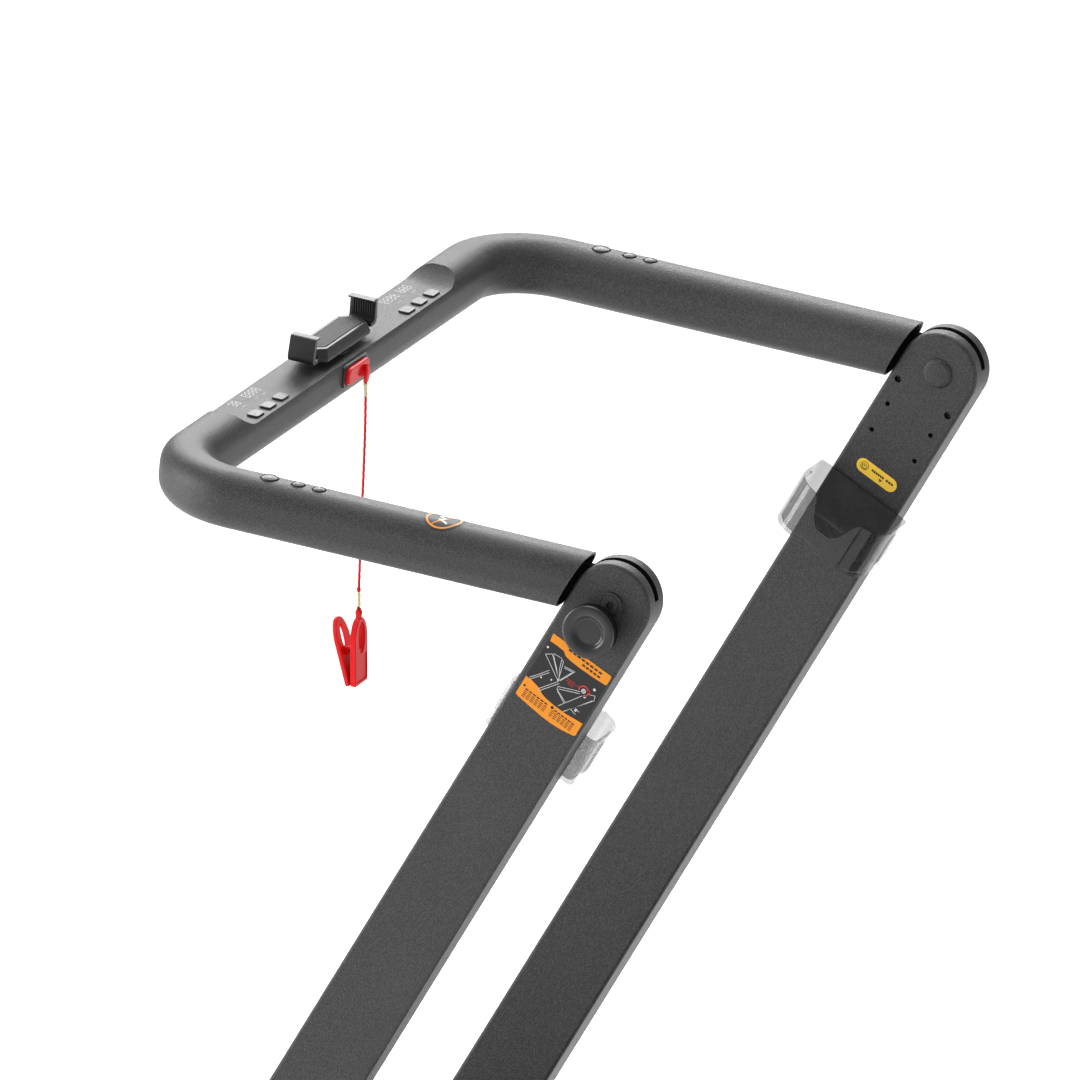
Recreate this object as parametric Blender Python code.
"""Walking treadmill with a folding, adjustable handrail.

Metres, +Z up. The walker faces +Y, and +X is at the walker's right hand. The origin lies on the
floor, under the middle of the deck. Two flat uprights hinge on the deck's front end and lean back
towards the walker; the U-shaped handrail hinges on their tops and carries the console bar.
"""
import bpy
import bmesh
from math import asin, atan2, cos, pi, radians, sin, sqrt
from mathutils import Vector

# ---------------------------------------------------------------- driving dimensions (metres)
GAP = 0.0003                       # clearance between pieces that touch

ARM_SPACING = 0.648                # between the middles of the two arms, and of the two uprights
UPRIGHT_WIDTH = 0.065
UPRIGHT_THICK = 0.030
UPRIGHT_WALL = 0.002
UPRIGHT_LENGTH = 0.947             # base pivot to handrail pivot
UPRIGHT_LEAN = radians(30.64)      # from vertical, towards the walker
ARM_RISE = radians(5.89)           # of the arms, above level

BASE_PIVOT_Y = 0.440
BASE_PIVOT_Z = 0.165

TUBE_WIDTH = 0.042
TUBE_HEIGHT = 0.046
TUBE_CORNER = 0.018
TUBE_WALL = 0.0018
TUBE_LIFT = 0.0083                 # tube middle above the handrail pivot
TUBE_BEND = 0.060                  # middle of the tube in the two corners
BAR_REACH = 0.385                  # handrail pivot to the middle of the console bar
ARM_END = 0.036                    # handrail pivot to the cut end of the arm

SLOT_WIDTH = 0.007
SLOT_BELOW = 0.030                 # the slot starts this far below the pivot, on the front edge
SLOT_REAR = radians(54.8)          # and ends this far behind the top
TONGUE_THICK = 0.006
TONGUE_DISC = 0.027                # radius
TONGUE_HALF = 0.015
HANDRAIL_TURN = radians(114.75)    # from in use to in line with the uprights

PIVOT_BOLT = 0.004                 # shaft radii
KNOB_SCREW = 0.003
BASE_BOLT = 0.0058
KNOB_RADIUS = 0.0215
KNOB_BELOW = 0.021                 # locking knob's middle below the handrail pivot
KNOB_STAND_OFF = 0.002             # room for the thin plate under bolt head and knob
BASE_KNOB_ABOVE = 0.045
BASE_KNOB_RADIUS = 0.018
BASE_FOLD = pi / 2 - UPRIGHT_LEAN  # the uprights fold down flat

CONSOLE_HALF = 0.200               # half length of the flat on the bar
CONSOLE_FLAT = TUBE_LIFT + 0.0122  # height of the flat over the pivot line
PANEL_THICK = 0.003
PANEL_DEPTH = 0.0340
CONSOLE_BUTTONS = (0.123, 0.147, 0.171)
CONSOLE_BUTTON_Y = BAR_REACH - 0.011
CONSOLE_BUTTON_SIZE = (0.0145, 0.0095)
BUTTON_PROUD = 0.0016
ARM_BUTTONS = ((0.296, 0.0070), (0.272, 0.00525), (0.2544, 0.00525))   # place, radius

# Screw holes on the inner faces: below the pivot, to each side, radius.
ACCESSORY_HOLES = ((0.0244, 0.0243, 0.0028), (0.0472, 0.0211, 0.0020), (0.0735, 0.0211, 0.0020))
TRAY_WIDTH = 0.084
TRAY_DEPTH = 0.055
TRAY_WALL = 0.0022
TRAY_RIM_BELOW = 0.1195            # handrail pivot to the rim, and to the underside
TRAY_FOOT_BELOW = 0.1630

KEY_Z = 0.0093                     # middle of the key over the pivot line
KEY_LUG_X = 0.0138
BAR_FACE = BAR_REACH - TUBE_WIDTH / 2
KEY_FRONT = BAR_FACE - 0.0065
FERRULE_LENGTH = 0.0105
FERRULE_RADIUS = 0.0015
CORD_DIAMETER = 0.0022
# The cord's route, from the upper ferrule down to the lower one: how far down, and how far it has
# drifted aside in X and in Y by then.
CORD_ROUTE = ((0.000, 0.0000, 0.0000), (0.020, -0.0004, 0.0001), (0.045, -0.0016, 0.0004),
              (0.075, -0.0033, 0.0010), (0.105, -0.0052, 0.0016), (0.135, -0.0069, 0.0021),
              (0.1575, -0.0080, 0.0025))
CORD_POINTS = 26
CLIP_LENGTH = 0.054
CLIP_WIDTH = 0.024
CLIP_OPEN = radians(15)            # between the leaves at rest
CLIP_PIVOT_ASIDE = 0.0065
CLIP_PIVOT_BELOW = 0.036

DECK_TOP = 0.115
RAIL_OUTER = 0.300
RAIL_INNER = 0.222
DECK_REAR = -0.600
HOOD_REAR = 0.360
HOOD_FRONT = 0.625
HOOD_TOP = 0.188
BELT_HALF = 0.215
BELT_THICK = 0.002
ROLLER_RADIUS = 0.022
ROLLER_Z = 0.0785
FRONT_ROLLER_Y = 0.400
REAR_ROLLER_Y = -0.570
MOTOR_Y = 0.500
MOTOR_Z = 0.110
WHEEL_Y = 0.597
WHEEL_Z = 0.028
WHEEL_RADIUS = 0.022

SIDES = (("left", -1), ("right", 1))
ARM_X = ARM_SPACING / 2
HALF_THICK = UPRIGHT_THICK / 2
TOP_PIVOT_Y = BASE_PIVOT_Y - UPRIGHT_LENGTH * sin(UPRIGHT_LEAN)
TOP_PIVOT_Z = BASE_PIVOT_Z + UPRIGHT_LENGTH * cos(UPRIGHT_LEAN)


# ---------------------------------------------------------------- outlines, as (u, v) points
def arc(u, v, radius, start, end, steps):
    """Points on an arc, both ends included."""
    turns = [start + (end - start) * i / steps for i in range(steps + 1)]
    return [(u + radius * cos(turn), v + radius * sin(turn)) for turn in turns]


def circle(u, v, radius, steps=12):
    return arc(u, v, radius, 0, 2 * pi * (steps - 1) / steps, steps - 1)


def rectangle(u_low, u_high, v_low, v_high):
    return [(u_low, v_low), (u_high, v_low), (u_high, v_high), (u_low, v_high)]


def rounded_rectangle(u, v, width, height, radius, steps=4):
    points = []
    for corner, (across, up) in enumerate(((1, 1), (-1, 1), (-1, -1), (1, -1))):
        middle_u = u + across * (width / 2 - radius)
        middle_v = v + up * (height / 2 - radius)
        points += arc(middle_u, middle_v, radius, corner * pi / 2, (corner + 1) * pi / 2, steps)
    return points


def rounded_corners(corners, steps=4):
    """An outline of square corners, each given as (u, v, radius)."""
    points = []
    for i, (u, v, radius) in enumerate(corners):
        here = Vector((u, v))
        back = (Vector(corners[i - 1][:2]) - here).normalized()
        ahead = (Vector(corners[(i + 1) % len(corners)][:2]) - here).normalized()
        centre = here + radius * (back + ahead)
        for step in range(steps + 1):
            turn = pi / 2 * step / steps
            points.append(centre - radius * (ahead * cos(turn) + back * sin(turn)))
    return points


def upright_outline(radius, steps=10):
    """A strip with round ends, from the base pivot up to the handrail pivot."""
    return arc(0, UPRIGHT_LENGTH, radius, 0, pi, steps) + arc(0, 0, radius, pi, 2 * pi, steps)


def belt_outline(first, second, steps=10):
    """A belt round two pulleys, each given as (u, v, radius)."""
    (u1, v1, r1), (u2, v2, r2) = first, second
    run = atan2(v2 - v1, u2 - u1)
    lean = asin((r1 - r2) / sqrt((u2 - u1) ** 2 + (v2 - v1) ** 2))
    start = run + pi / 2 - lean
    end = run - pi / 2 + lean
    return arc(u1, v1, r1, start, end + 2 * pi, steps) + arc(u2, v2, r2, end, start, steps)


# ---------------------------------------------------------------- solids, as bmesh shapes
def place(axis, u, v, along):
    """A point from its outline place and its place along the axis."""
    return {"X": (along, u, v), "Y": (u, along, v), "Z": (u, v, along)}[axis]


def loft(rings, closed_up=False):
    """One closed skin over rings of points; closed_up joins the last ring to the first."""
    shape = bmesh.new()
    loops = [[shape.verts.new(point) for point in ring] for ring in rings]
    pairs = list(zip(loops, loops[1:]))
    if closed_up:
        pairs.append((loops[-1], loops[0]))
    for low, high in pairs:
        for i in range(len(low)):
            j = (i + 1) % len(low)
            shape.faces.new((low[i], low[j], high[j], high[i]))
    if not closed_up:
        shape.faces.new(loops[0][::-1])
        shape.faces.new(loops[-1])
    bmesh.ops.recalc_face_normals(shape, faces=shape.faces)
    return shape


def prism(outline, axis, low, high):
    return loft([[place(axis, u, v, along) for u, v in outline] for along in sorted((low, high))])


def box(x_low, x_high, y_low, y_high, z_low, z_high):
    return prism(rectangle(x_low, x_high, y_low, y_high), "Z", z_low, z_high)


def turned(profile, axis, u, v, steps=16):
    """A turned solid; the profile's (radius, along) points run from one end of it to the other."""
    rings = []
    for radius, along in profile:
        rings.append([place(axis, *point, along) for point in circle(u, v, radius, steps)])
    return loft(rings)


# ---------------------------------------------------------------- objects
def finish(name, colour, roughness, metallic=0.0, alpha=1.0):
    material = bpy.data.materials.new(name)
    material.use_nodes = True
    shader = material.node_tree.nodes["Principled BSDF"]
    shader.inputs["Base Color"].default_value = (*colour, 1.0)
    shader.inputs["Roughness"].default_value = roughness
    shader.inputs["Metallic"].default_value = metallic
    shader.inputs["Alpha"].default_value = alpha
    material.diffuse_color = (*colour, alpha)
    return material


def mesh_object(name, shape, parent, origin):
    mesh = bpy.data.meshes.new(name)
    bmesh.ops.translate(shape, verts=shape.verts, vec=-Vector(origin))
    shape.to_mesh(mesh)
    shape.free()
    obj = bpy.data.objects.new(name, mesh)
    bpy.context.scene.collection.objects.link(obj)
    obj.parent = parent
    obj.location = origin
    return obj


def solid(name, shape, material, parent=None, origin=(0, 0, 0), plus=(), minus=(), smooth=False):
    """One piece: a shape, with other shapes joined to it and then others cut out of it."""
    obj = mesh_object(name, shape, parent, origin)
    obj.data.materials.append(material)
    tools = [("UNION", tool) for tool in plus] + [("DIFFERENCE", tool) for tool in minus]
    for number, (operation, tool) in enumerate(tools):
        guide = mesh_object(f"{name}_guide_{number}", tool, parent, origin)
        guide.display_type = "WIRE"
        guide.hide_render = True
        boolean = obj.modifiers.new(f"{operation.lower()}_{number}", "BOOLEAN")
        boolean.operation = operation
        boolean.object = guide
    if smooth:
        obj.data.shade_smooth()
        obj.data.set_sharp_from_angle(angle=radians(35))
    return obj


def empty(name, location, turn_x, parent=None):
    obj = bpy.data.objects.new(name, None)
    bpy.context.scene.collection.objects.link(obj)
    obj.parent = parent
    obj.location = location
    obj.rotation_euler = (turn_x, 0, 0)
    return obj


# ---------------------------------------------------------------- handrail (frame: handrail_axis)
def tube_section(width, height, corner):
    return rounded_rectangle(0, 0, width, height, corner, steps=3)


def tube_ring(section, middle, heading):
    """The section at a point of the tube's path; heading turns from the left arm's +Y."""
    ring = []
    for across, up in section:
        x = middle[0] + across * cos(heading)
        y = middle[1] - across * sin(heading)
        ring.append((x, y, TUBE_LIFT + up))
    return ring


def arm_end_y(z):
    """The arms are cut parallel to the uprights' front edges, not square."""
    slant = UPRIGHT_LEAN - ARM_RISE
    return (ARM_END - z * sin(slant)) / cos(slant)


def tube_rings(section, bend_steps=6):
    end_left = [(-ARM_X + u, arm_end_y(TUBE_LIFT + v), TUBE_LIFT + v) for u, v in section]
    rings = [end_left]
    bend_y = BAR_REACH - TUBE_BEND
    for side in (-1, 1):
        middle_x = side * (ARM_X - TUBE_BEND)
        for step in range(bend_steps + 1):
            turn = pi / 2 * step / bend_steps
            heading = turn if side < 0 else pi / 2 + turn
            x = middle_x - TUBE_BEND * cos(heading)
            y = bend_y + TUBE_BEND * sin(heading)
            rings.append(tube_ring(section, (x, y), heading))
    end_right = [(ARM_X - u, arm_end_y(TUBE_LIFT + v), TUBE_LIFT + v) for u, v in section]
    return rings + [end_right]


def open_tube(outer_rings, inner_rings):
    """A tube with a wall and two open ends: the outside there, then the inside back."""
    return loft(outer_rings + inner_rings[::-1], closed_up=True)


def handrail_tube(axis, powder_coat):
    outer = tube_rings(tube_section(TUBE_WIDTH, TUBE_HEIGHT, TUBE_CORNER))
    less = 2 * TUBE_WALL
    inner = tube_rings(tube_section(TUBE_WIDTH - less, TUBE_HEIGHT - less, TUBE_CORNER - TUBE_WALL))
    crest = TUBE_LIFT + TUBE_HEIGHT / 2
    console = box(-CONSOLE_HALF, CONSOLE_HALF, BAR_REACH - 0.03, BAR_REACH + 0.03, CONSOLE_FLAT, 0.05)
    wells = []
    for _, sign in SIDES:
        for along, radius in ARM_BUTTONS:
            well = circle(sign * ARM_X, along, radius + 0.0008, 16)
            wells.append(prism(well, "Z", crest - 0.008, crest + 0.01))
    solid("handrail_tube", open_tube(outer, inner), powder_coat, axis,
          minus=[console] + wells, smooth=True)


def tongue(side, sign, axis, steel):
    """The plate that carries an arm on its upright, on a block inside the tube."""
    x = sign * ARM_X
    half = TONGUE_THICK / 2
    disc = prism(circle(0, 0, TONGUE_DISC, 24), "X", x - half, x + half)
    strip_outline = rectangle(0.0, 0.060, TUBE_LIFT - TONGUE_HALF, TUBE_LIFT + TONGUE_HALF)
    strip = prism(strip_outline, "X", x - half, x + half)
    less = 2 * TUBE_WALL + 0.0008
    block_outline = rounded_rectangle(x, TUBE_LIFT, TUBE_WIDTH - less, TUBE_HEIGHT - less,
                                      TUBE_CORNER - TUBE_WALL - 0.0006, steps=3)
    block = prism(block_outline, "Y", 0.052, 0.100)
    screw_at_rest = -pi / 2 + UPRIGHT_LEAN - ARM_RISE
    margin = radians(10)
    slot_half = KNOB_SCREW + 0.0006
    first, last = screw_at_rest - HANDRAIL_TURN - margin, screw_at_rest + margin
    slot_outline = (arc(0, 0, KNOB_BELOW + slot_half, first, last, 14)
                    + arc(0, 0, KNOB_BELOW - slot_half, last, first, 14))
    slot = prism(slot_outline, "X", x - 0.01, x + 0.01)
    hole = prism(circle(0, 0, PIVOT_BOLT + 0.0007), "X", x - 0.01, x + 0.01)
    solid(f"tongue_{side}", disc, steel, axis, plus=[strip, block], minus=[slot, hole])


def console(axis, plastic, board_green):
    depth = PANEL_DEPTH / 2
    low = CONSOLE_FLAT - PANEL_THICK
    panel = box(-CONSOLE_HALF + GAP, CONSOLE_HALF - GAP, BAR_REACH - depth, BAR_REACH + depth,
                low, CONSOLE_FLAT)
    width, height = CONSOLE_BUTTON_SIZE
    wells = []
    for number, offset in enumerate(CONSOLE_BUTTONS, start=1):
        for side, sign in SIDES:
            x = sign * offset
            outline = rounded_rectangle(x, CONSOLE_BUTTON_Y, width, height, 0.002, steps=2)
            well = rounded_rectangle(x, CONSOLE_BUTTON_Y, width + 0.0008, height + 0.0008, 0.0024, 2)
            wells.append(prism(well, "Z", low - 0.01, CONSOLE_FLAT + 0.01))
            cap = prism(outline, "Z", low - 0.001, CONSOLE_FLAT + BUTTON_PROUD)
            solid(f"console_button_{side}_{number}", cap, plastic, axis,
                  origin=(x, CONSOLE_BUTTON_Y, CONSOLE_FLAT))
    solid("console_panel", panel, plastic, axis, minus=wells)
    solid("circuit_board", box(-0.185, 0.185, BAR_REACH - 0.015, BAR_REACH + 0.015, 0.0115, 0.0131),
          board_green, axis)


def arm_buttons(side, sign, axis, plastic):
    crest = TUBE_LIFT + TUBE_HEIGHT / 2
    for number, (along, radius) in enumerate(ARM_BUTTONS, start=1):
        x = sign * ARM_X
        cap = prism(circle(x, along, radius, 16), "Z", crest - 0.005, crest + 0.0014)
        solid(f"arm_button_{side}_{number}", cap, plastic, axis, origin=(x, along, crest), smooth=True)


def phone_holder(axis, plastic, rubber):
    base = CONSOLE_FLAT + GAP
    body_low, body_high = CONSOLE_FLAT + 0.0045, CONSOLE_FLAT + 0.0157
    stand = turned([(0.012, base), (0.012, body_low - 0.0010), (0.010, body_low - GAP)], "Z",
                   0, BAR_REACH)
    solid("phone_swivel_base", stand, plastic, axis, origin=(0, BAR_REACH, base), smooth=True)

    def octagon(half_length, half_width, z, chamfer=0.008):
        points = []
        for across, up in ((1, 1), (-1, 1), (-1, -1), (1, -1)):
            ends = [(across * half_length, up * (half_width - chamfer)),
                    (across * (half_length - chamfer), up * half_width)]
            points += ends if across == up else ends[::-1]
        return [(x, BAR_REACH + y, z) for x, y in points]

    middle = body_low + 0.003
    body = loft([octagon(0.046, 0.0125, body_low), octagon(0.049, 0.0148, middle),
                 octagon(0.0465, 0.0120, body_high)])
    rail_low, rail_high = body_low + 0.0030, body_low + 0.0060
    sleeves = []
    for _, sign in SIDES:
        outline = rectangle(*sorted((sign * 0.012, sign * 0.060)), BAR_REACH - 0.0064, BAR_REACH + 0.0064)
        sleeves.append(prism(outline, "Z", rail_low - 0.0004, rail_high + 0.0004))
    solid("phone_holder_body", body, plastic, axis, origin=(0, BAR_REACH, body_low), minus=sleeves)
    for side, sign in SIDES:
        rail_outline = rectangle(*sorted((sign * 0.0145, sign * 0.0580)), BAR_REACH - 0.006,
                                 BAR_REACH + 0.006)
        rail = prism(rail_outline, "Z", rail_low, rail_high)
        leaf_outline = rectangle(*sorted((sign * 0.0560, sign * 0.0610)), BAR_REACH - 0.0108,
                                 BAR_REACH + 0.0108)
        leaf = prism(leaf_outline, "Z", CONSOLE_FLAT + 0.0080, CONSOLE_FLAT + 0.0290)
        solid(f"phone_jaw_{side}", leaf, rubber, axis, plus=[rail],
              origin=(sign * 0.056, BAR_REACH, rail_low))


# ---------------------------------------------------------------- safety key, cord and clip

def handrail_point(x, y, z):
    """World place of a point in the handrail's frame."""
    world_y = TOP_PIVOT_Y + y * cos(ARM_RISE) - z * sin(ARM_RISE)
    world_z = TOP_PIVOT_Z + y * sin(ARM_RISE) + z * cos(ARM_RISE)
    return Vector((x, world_y, world_z))


def smooth_route(points, count):
    """Evenly spaced points on a Catmull-Rom curve through the route's own points."""
    ends = [2 * points[0] - points[1]] + list(points) + [2 * points[-1] - points[-2]]
    result = []
    spans = len(points) - 1
    for step in range(count + 1):
        span = min(int(step * spans / count), spans - 1)
        t = step * spans / count - span
        before, start, end, after = ends[span:span + 4]
        result.append(0.5 * ((2 * start) + (end - before) * t
                             + (2 * before - 5 * start + 4 * end - after) * t ** 2
                             + (3 * start - before - 3 * end + after) * t ** 3))
    return result


def tube_along(name, points, diameter, material):
    curve = bpy.data.curves.new(name, "CURVE")
    curve.dimensions = "3D"
    curve.bevel_depth = diameter / 2
    curve.bevel_resolution = 2
    curve.use_fill_caps = True
    spline = curve.splines.new("POLY")
    spline.points.add(len(points) - 1)
    for target, point in zip(spline.points, points):
        target.co = (*point, 1.0)
    curve.materials.append(material)
    obj = bpy.data.objects.new(name, curve)
    bpy.context.scene.collection.objects.link(obj)
    return obj


def ferrule(name, top, brass):
    profile = [(FERRULE_RADIUS, top.z - FERRULE_LENGTH), (FERRULE_RADIUS, top.z)]
    solid(name, turned(profile, "Z", top.x, top.y, steps=12), brass, smooth=True)


def safety_key(axis, plastic, red, brass):
    socket = prism(rounded_rectangle(0, KEY_Z, 0.046, 0.019, 0.004, 3), "Y",
                   BAR_FACE - GAP - 0.0022, BAR_FACE - GAP)
    solid("key_socket", socket, plastic, axis)
    plate = prism(rounded_rectangle(0, KEY_Z, 0.040, 0.0140, 0.005, 4), "Y", KEY_FRONT,
                  BAR_FACE - 2 * GAP - 0.0022)
    lug = box(KEY_LUG_X - 0.0030, KEY_LUG_X + 0.0030, KEY_FRONT + 0.0002, KEY_FRONT + 0.0030,
              -0.0035, KEY_Z)
    solid("safety_key", plate, red, axis, origin=(0, KEY_FRONT, KEY_Z), plus=[lug])

    exit_point = handrail_point(KEY_LUG_X, KEY_FRONT + 0.0016, -0.0035) - Vector((0, 0, 2 * GAP))
    ferrule("cord_ferrule_upper", exit_point, brass)
    cord_top = exit_point - Vector((0, 0, FERRULE_LENGTH + GAP))
    route = [cord_top + Vector((aside, ahead, -down)) for down, aside, ahead in CORD_ROUTE]
    tube_along("safety_cord", smooth_route(route, CORD_POINTS), CORD_DIAMETER, red)
    ferrule_top = route[-1] - Vector((0, 0, 2 * GAP))
    ferrule("cord_ferrule_lower", ferrule_top, brass)
    clip(ferrule_top - Vector((0, 0, FERRULE_LENGTH + 2 * GAP)), red)


def clip(top, red):
    """Two leaves that pivot on each other; squeezing their upper ends opens the lower ones."""
    half = CLIP_WIDTH / 2
    x, y, z = top
    leaf_low, leaf_high = z - CLIP_LENGTH - 0.0085, z - 0.0085
    knot = box(x - 0.003, x + 0.003, y - 0.0028, y + 0.0028, z - 0.0100, z)
    front = box(x - half, x + half, y - 0.0025, y + 0.0025, leaf_low, leaf_high)
    solid("clip_front_leaf", front, red, origin=top, plus=[knot])
    inner_low, inner_high = y + 0.0028, y + 0.0028 + CLIP_LENGTH * sin(CLIP_OPEN)
    outline = [(inner_low, leaf_low), (inner_low + 0.0030, leaf_low), (inner_high + 0.0045, leaf_high),
               (inner_high, leaf_high)]
    rear = prism(outline, "X", x - half, x + half)
    pivot = Vector((x, y + CLIP_PIVOT_ASIDE, z - CLIP_PIVOT_BELOW))
    tab = prism(circle(pivot.y, pivot.z, 0.0034), "X", x - 0.004, x + 0.004)
    web = box(x - 0.004, x + 0.004, pivot.y, pivot.y + 0.005, pivot.z - 0.0030, pivot.z + 0.0030)
    solid("clip_rear_leaf", rear, red, origin=pivot, plus=[tab, web])


# ---------------------------------------------------------------- uprights (frame: uprights_axis)
def upright(side, sign, axis, powder_coat):
    x = sign * ARM_X
    outer = prism(upright_outline(UPRIGHT_WIDTH / 2), "X", x - HALF_THICK, x + HALF_THICK)
    wall = UPRIGHT_WALL
    hollow = prism(upright_outline(UPRIGHT_WIDTH / 2 - wall), "X",
                   x - HALF_THICK + wall, x + HALF_THICK - wall)
    reach = 0.060
    top = UPRIGHT_LENGTH
    slot_outline = [(0, top - SLOT_BELOW), (reach, top - SLOT_BELOW), (reach, top + reach),
                    (-reach * sin(SLOT_REAR) / cos(SLOT_REAR), top + reach), (0, top)]
    slot = prism(slot_outline, "X", x - SLOT_WIDTH / 2, x + SLOT_WIDTH / 2)
    outside = sorted((x, x + sign * 0.02))
    inside = sorted((x, x - sign * 0.02))
    through = (x - 0.02, x + 0.02)
    holes = [prism(circle(0, top, PIVOT_BOLT + 0.0007), "X", *through),
             prism(circle(0, 0, BASE_BOLT + 0.0007), "X", *through),
             prism(circle(0, top - KNOB_BELOW, KNOB_SCREW + 0.0006), "X", *outside),
             prism(circle(0, BASE_KNOB_ABOVE, KNOB_SCREW + 0.0007, 14), "X", *outside)]
    for below, aside, radius in ACCESSORY_HOLES:
        for direction in (-1, 1):
            hole = circle(direction * aside, top - below, radius, 10)
            holes.append(prism(hole, "X", *inside))
    solid(f"upright_{side}", outer, powder_coat, axis, minus=[hollow, slot] + holes, smooth=True)


def through_bolt(name, x, sign, u, v, axis, sizes, steel):
    """A bolt along X with its head on the outer side and its nut disc on the inner side."""
    shaft, head, head_thick, head_from, nut, nut_thick, nut_from = sizes
    profile = [(nut * 0.9, x - sign * (nut_from + nut_thick)),
               (nut, x - sign * (nut_from + nut_thick * 0.6)),
               (nut, x - sign * nut_from), (shaft, x - sign * nut_from),
               (shaft, x + sign * head_from), (head, x + sign * head_from),
               (head, x + sign * (head_from + head_thick * 0.7)),
               (head * 0.8, x + sign * (head_from + head_thick))]
    solid(name, turned(profile, "X", u, v, steps=12), steel, axis, origin=(x, u, v), smooth=True)


def knob(name, x, sign, u, v, face, radius, screw_end, axis, plastic):
    """A round clamping knob on a narrow hub, dished in the middle, moulded on its screw."""
    profile = [(KNOB_SCREW, x + sign * screw_end), (KNOB_SCREW, x + sign * face),
               (radius * 0.48, x + sign * face), (radius * 0.48, x + sign * (face + 0.0055)),
               (radius * 0.95, x + sign * (face + 0.0060)), (radius, x + sign * (face + 0.0080)),
               (radius, x + sign * (face + 0.0165)), (radius * 0.90, x + sign * (face + 0.0185)),
               (radius * 0.60, x + sign * (face + 0.0185)), (radius * 0.50, x + sign * (face + 0.0165))]
    solid(name, turned(profile, "X", u, v, steps=20), plastic, axis, origin=(x, u, v), smooth=True)


def storage_tray(side, sign, axis, smoke):
    """An open pocket on the inner face of an upright."""
    near = sign * (ARM_X - HALF_THICK - GAP)
    low, high = UPRIGHT_LENGTH - TRAY_FOOT_BELOW, UPRIGHT_LENGTH - TRAY_RIM_BELOW

    def plan(inset):
        back = near - sign * inset
        front = near - sign * (TRAY_DEPTH - inset)
        half = TRAY_WIDTH / 2 - inset
        back_round, front_round = 0.005 - inset / 2, 0.020 - inset
        return rounded_corners([(back, -half, back_round), (front, -half, front_round),
                                (front, half, front_round), (back, half, back_round)])

    outer = prism(plan(0.0), "Z", low, high)
    pocket = prism(plan(TRAY_WALL), "Z", low + 0.0025, high + 0.02)
    solid(f"storage_tray_{side}", outer, smoke, axis, minus=[pocket], smooth=True)


# ---------------------------------------------------------------- deck (world frame)
def base_bracket(side, sign, steel):
    """A channel that holds the upright's foot; its outer cheek has the clamping knob's slot."""
    inner_from, inner_to = HALF_THICK + 0.0005, HALF_THICK + 0.0045
    floor = prism(rectangle(BASE_PIVOT_Y - 0.055, BASE_PIVOT_Y + 0.055, 0.0585, 0.0625), "X",
                  *sorted((sign * (ARM_X - inner_to), sign * (ARM_X + inner_to))))

    def cheek(radius, start, end):
        outline = arc(BASE_PIVOT_Y, BASE_PIVOT_Z, radius, 0, pi, 16)
        outline += [(BASE_PIVOT_Y - radius, 0.060), (BASE_PIVOT_Y + radius, 0.060)]
        return prism(outline, "X", *sorted((start, end)))

    outer = cheek(0.055, sign * (ARM_X + inner_from), sign * (ARM_X + inner_to))
    inner = cheek(0.034, sign * (ARM_X - inner_to), sign * (ARM_X - inner_from))
    at_rest = pi / 2 + UPRIGHT_LEAN
    margin = radians(5)
    half = KNOB_SCREW + 0.0008
    first, last = at_rest - margin, at_rest + BASE_FOLD + margin
    slot_outline = (arc(BASE_PIVOT_Y, BASE_PIVOT_Z, BASE_KNOB_ABOVE + half, first, last, 10)
                    + arc(BASE_PIVOT_Y, BASE_PIVOT_Z, BASE_KNOB_ABOVE - half, last, first, 10))
    slot = prism(slot_outline, "X", *sorted((sign * ARM_X, sign * (ARM_X + 0.03))))
    hole = prism(circle(BASE_PIVOT_Y, BASE_PIVOT_Z, BASE_BOLT + 0.0007), "X",
                 *sorted((sign * (ARM_X - 0.03), sign * (ARM_X + 0.03))))
    solid(f"base_bracket_{side}", floor, steel, plus=[outer, inner], minus=[slot, hole])


def deck_frame(steel):
    members = []
    for _, sign in SIDES:
        members.append(box(*sorted((sign * 0.245, sign * 0.275)), -0.585, 0.565, 0.045, 0.085))
        for inner in (0.190, 0.226):
            ear = sorted((sign * inner, sign * (inner + 0.006)))
            members.append(box(*ear, 0.550, 0.612, 0.018, 0.060))
    for y in (-0.400, -0.075, 0.250):
        members.append(box(-0.250, 0.250, y - 0.015, y + 0.015, 0.060, 0.084))
    members.append(box(-0.250, 0.250, 0.540, 0.564, 0.046, 0.084))
    members.append(box(-0.160, 0.180, 0.450, 0.545, 0.050, 0.057))
    outrigger = box(-0.343, 0.343, 0.420, 0.460, 0.030, 0.058)
    axles = [prism(circle(WHEEL_Y, WHEEL_Z, 0.0046), "X", *sorted((sign * 0.18, sign * 0.24)))
             for _, sign in SIDES]
    solid("deck_frame", outrigger, steel, plus=members, minus=axles)


def transport_wheel(side, sign, rubber):
    start, end = sign * 0.1965, sign * 0.2255
    stub = 0.006
    profile = [(0.004, start - sign * stub), (0.004, start), (0.008, start), (0.020, start + sign * 0.001),
               (WHEEL_RADIUS, start + sign * 0.003), (WHEEL_RADIUS, end - sign * 0.003),
               (0.020, end - sign * 0.001), (0.008, end), (0.004, end), (0.004, end + sign * stub)]
    solid(f"transport_wheel_{side}", turned(profile, "X", WHEEL_Y, WHEEL_Z), rubber,
          origin=(sign * 0.211, WHEEL_Y, WHEEL_Z), smooth=True)


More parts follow.
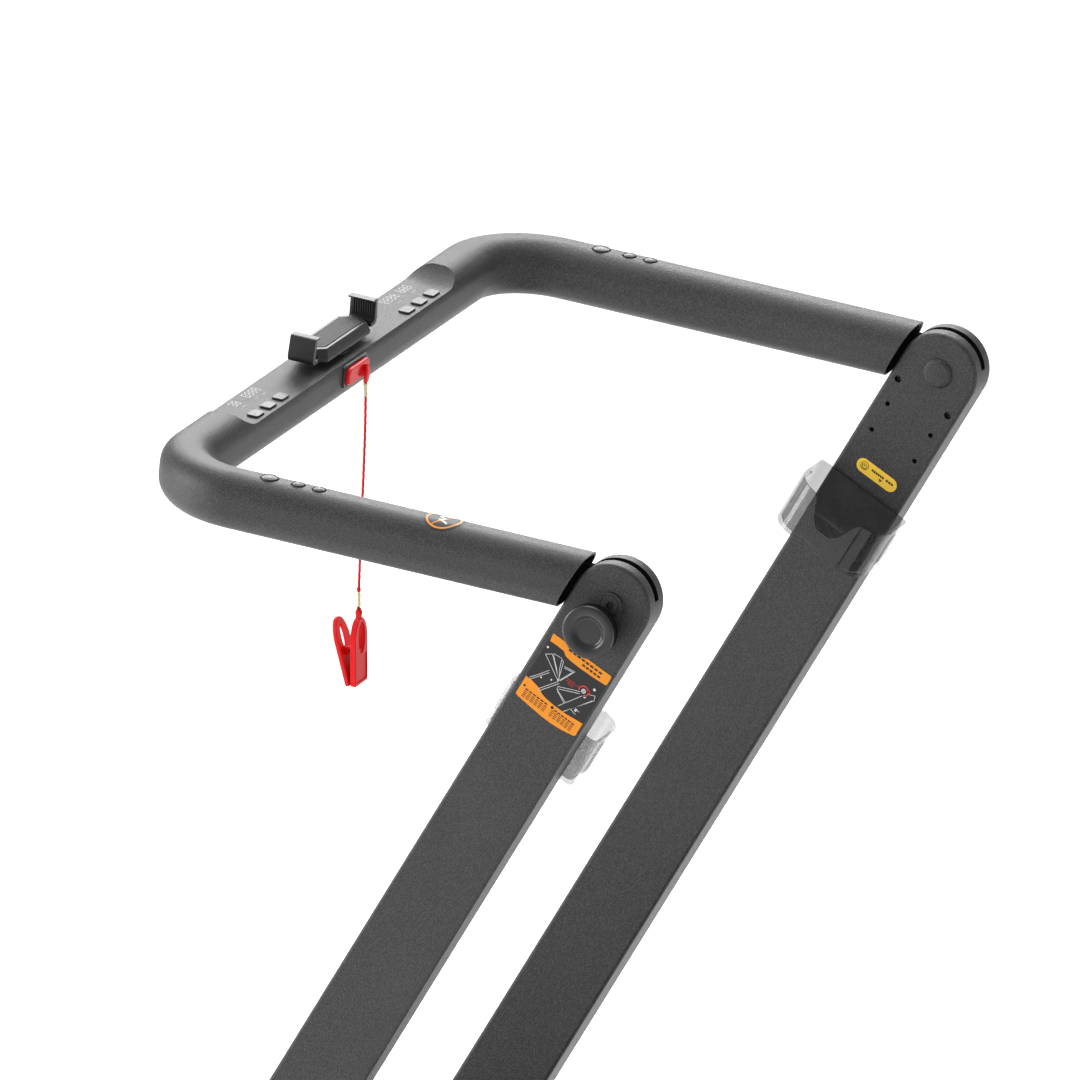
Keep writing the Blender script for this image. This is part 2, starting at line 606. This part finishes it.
def running_gear(rubber, steel, board, black):
    solid("deck_board", box(-0.243, 0.243, -0.540, 0.365, 0.0855, 0.1005), board)
    inside = ROLLER_RADIUS + GAP
    outside = inside + BELT_THICK
    loops = []
    for radius in (outside, inside):
        loops.append(belt_outline((REAR_ROLLER_Y, ROLLER_Z, radius), (FRONT_ROLLER_Y, ROLLER_Z, radius)))
    belt = prism(loops[0], "X", -BELT_HALF, BELT_HALF)
    solid("walking_belt", belt, rubber, minus=[prism(loops[1], "X", -BELT_HALF - 0.01, BELT_HALF + 0.01)],
          smooth=True)
    drum = BELT_HALF + 0.002
    rear = [(0.006, -0.2447), (0.006, -drum), (ROLLER_RADIUS, -drum), (ROLLER_RADIUS, drum),
            (0.006, drum), (0.006, 0.2447)]
    solid("rear_roller", turned(rear, "X", REAR_ROLLER_Y, ROLLER_Z), steel,
          origin=(0, REAR_ROLLER_Y, ROLLER_Z), smooth=True)
    front = rear[:4] + [(0.010, drum), (0.010, 0.2200), (0.0240, 0.2200), (0.0240, 0.2210),
                        (0.0215, 0.2215), (0.0215, 0.2335), (0.0240, 0.2340), (0.0240, 0.2350),
                        (0.006, 0.2350), (0.006, 0.2447)]
    solid("front_roller", turned(front, "X", FRONT_ROLLER_Y, ROLLER_Z), steel,
          origin=(0, FRONT_ROLLER_Y, ROLLER_Z), smooth=True)
    motor_drive(steel, black, rubber)


def motor_drive(steel, black, rubber):
    can = turned([(0.030, -0.095), (0.042, -0.088), (0.042, 0.150), (0.030, 0.157)], "X", MOTOR_Y, MOTOR_Z)
    foot = box(-0.060, 0.120, MOTOR_Y - 0.030, MOTOR_Y + 0.030, 0.0573, 0.080)
    bore = prism(circle(MOTOR_Y, MOTOR_Z, 0.0066), "X", -0.12, 0.18)
    solid("motor", can, black, plus=[foot], minus=[bore], smooth=True)
    pulley = 0.014
    shaft = [(0.010, -0.128), (0.045, -0.127), (0.045, -0.112), (0.010, -0.111), (0.006, -0.110),
             (0.006, 0.2200), (pulley + 0.0025, 0.2200), (pulley + 0.0025, 0.2210), (pulley, 0.2215),
             (pulley, 0.2335), (pulley + 0.0025, 0.2340), (pulley + 0.0025, 0.2350), (0.005, 0.2352)]
    solid("motor_shaft_and_flywheel", turned(shaft, "X", MOTOR_Y, MOTOR_Z), steel,
          origin=(0, MOTOR_Y, MOTOR_Z), smooth=True)
    loops = []
    for extra in (GAP + 0.0018, GAP):
        loops.append(belt_outline((FRONT_ROLLER_Y, ROLLER_Z, 0.0215 + extra),
                                  (MOTOR_Y, MOTOR_Z, pulley + extra)))
    solid("drive_belt", prism(loops[0], "X", 0.2222, 0.2328), rubber,
          minus=[prism(loops[1], "X", 0.215, 0.240)], smooth=True)


def deck_covers(plastic, rubber, black):
    for side, sign in SIDES:
        top_plate = box(*sorted((sign * RAIL_INNER, sign * RAIL_OUTER)), DECK_REAR, HOOD_REAR - GAP,
                        DECK_TOP - 0.008, DECK_TOP)
        skirt = box(*sorted((sign * (RAIL_OUTER - 0.004), sign * RAIL_OUTER)), DECK_REAR, HOOD_REAR - GAP,
                    0.032, DECK_TOP)
        solid(f"foot_rail_{side}", top_plate, black, plus=[skirt])
        foot_end = box(*sorted((sign * 0.238, sign * RAIL_OUTER)), -0.627, DECK_REAR - GAP, 0.0, DECK_TOP)
        solid(f"rear_foot_{side}", foot_end, rubber)
    outer = [(HOOD_REAR, 0.030), (HOOD_REAR, 0.112), (0.405, HOOD_TOP), (0.570, HOOD_TOP),
             (HOOD_FRONT, 0.125), (HOOD_FRONT, 0.030)]
    inner = [(0.300, -0.010), (0.300, 0.1063), (0.363, 0.1063), (0.4067, HOOD_TOP - 0.003),
             (0.5685, HOOD_TOP - 0.003), (HOOD_FRONT - 0.003, 0.124), (HOOD_FRONT - 0.003, -0.010)]
    shell = prism(outer, "X", -RAIL_OUTER, RAIL_OUTER)
    cuts = [prism(inner, "X", -RAIL_OUTER + 0.003, RAIL_OUTER - 0.003),
            box(-0.35, 0.35, 0.417, 0.463, 0.0, 0.0605),
            box(-0.1205, -0.0895, 0.600, 0.640, 0.0575, 0.0825),
            box(-0.0705, -0.0495, 0.600, 0.640, 0.0595, 0.0805)]
    solid("motor_hood", shell, plastic, minus=cuts)
    solid("front_foot_bar", box(-0.330, 0.330, 0.422, 0.458, 0.0, 0.030 - GAP), rubber)
    socket = box(-0.1200, -0.0900, 0.600, 0.627, 0.0580, 0.0820)
    recess = box(-0.1165, -0.0935, 0.606, 0.640, 0.0615, 0.0785)
    solid("power_inlet", socket, black, minus=[recess])


def power_switch(black):
    """A rocker that tips about X; at rest its lower half stands out."""
    axis = empty("power_switch_axis", (-0.060, 0.617, 0.070), radians(-8))
    outline = [(-0.004, -0.0090), (0.0085, -0.0090), (0.0070, 0.0), (0.0085, 0.0090), (-0.004, 0.0090)]
    solid("power_switch", prism(outline, "X", -0.0095, 0.0095), black, axis)


def build():
    for obj in list(bpy.data.objects):
        bpy.data.objects.remove(obj, do_unlink=True)
    powder_coat = finish("charcoal_powder_coat", (0.045, 0.045, 0.047), 0.55, 0.2)
    plastic = finish("black_plastic", (0.025, 0.025, 0.027), 0.5)
    black = finish("satin_black", (0.03, 0.03, 0.03), 0.4)
    rubber = finish("black_rubber", (0.02, 0.02, 0.02), 0.8)
    red = finish("red_plastic", (0.75, 0.01, 0.02), 0.35)
    brass = finish("pale_brass", (0.75, 0.65, 0.38), 0.3, 1.0)
    steel = finish("dark_steel", (0.20, 0.20, 0.21), 0.4, 0.9)
    board = finish("deck_board", (0.18, 0.12, 0.07), 0.7)
    board_green = finish("board_green", (0.02, 0.16, 0.07), 0.5)
    smoke = finish("smoke_acrylic", (0.10, 0.10, 0.11), 0.1, alpha=0.5)

    uprights_axis = empty("uprights_axis", (0, BASE_PIVOT_Y, BASE_PIVOT_Z), UPRIGHT_LEAN)
    handrail_axis = empty("handrail_axis", (0, 0, UPRIGHT_LENGTH), ARM_RISE - UPRIGHT_LEAN, uprights_axis)

    handrail_tube(handrail_axis, powder_coat)
    console(handrail_axis, plastic, board_green)
    phone_holder(handrail_axis, plastic, rubber)
    safety_key(handrail_axis, plastic, red, brass)
    outer_face = HALF_THICK + KNOB_STAND_OFF
    for side, sign in SIDES:
        x = sign * ARM_X
        tongue(side, sign, handrail_axis, steel)
        arm_buttons(side, sign, handrail_axis, plastic)
        upright(side, sign, uprights_axis, powder_coat)
        through_bolt(f"handrail_pivot_bolt_{side}", x, sign, 0, UPRIGHT_LENGTH, uprights_axis,
                     (PIVOT_BOLT, 0.0075, 0.0040, outer_face, 0.0120, 0.0025, HALF_THICK + GAP), steel)
        knob(f"locking_knob_{side}", x, sign, 0, UPRIGHT_LENGTH - KNOB_BELOW, outer_face, KNOB_RADIUS,
             -0.006, uprights_axis, plastic)
        storage_tray(side, sign, uprights_axis, smoke)
        base_bracket(side, sign, steel)
        cheek = HALF_THICK + 0.0045 + GAP
        through_bolt(f"base_pivot_bolt_{side}", x, sign, 0, 0, uprights_axis,
                     (BASE_BOLT, 0.0110, 0.0060, cheek, 0.0110, 0.0032, cheek), steel)
        knob(f"base_knob_{side}", x, sign, 0, BASE_KNOB_ABOVE, cheek, BASE_KNOB_RADIUS, 0.004,
             uprights_axis, plastic)
        transport_wheel(side, sign, rubber)
    deck_frame(steel)
    running_gear(rubber, steel, board, black)
    deck_covers(plastic, rubber, black)
    power_switch(black)


build()
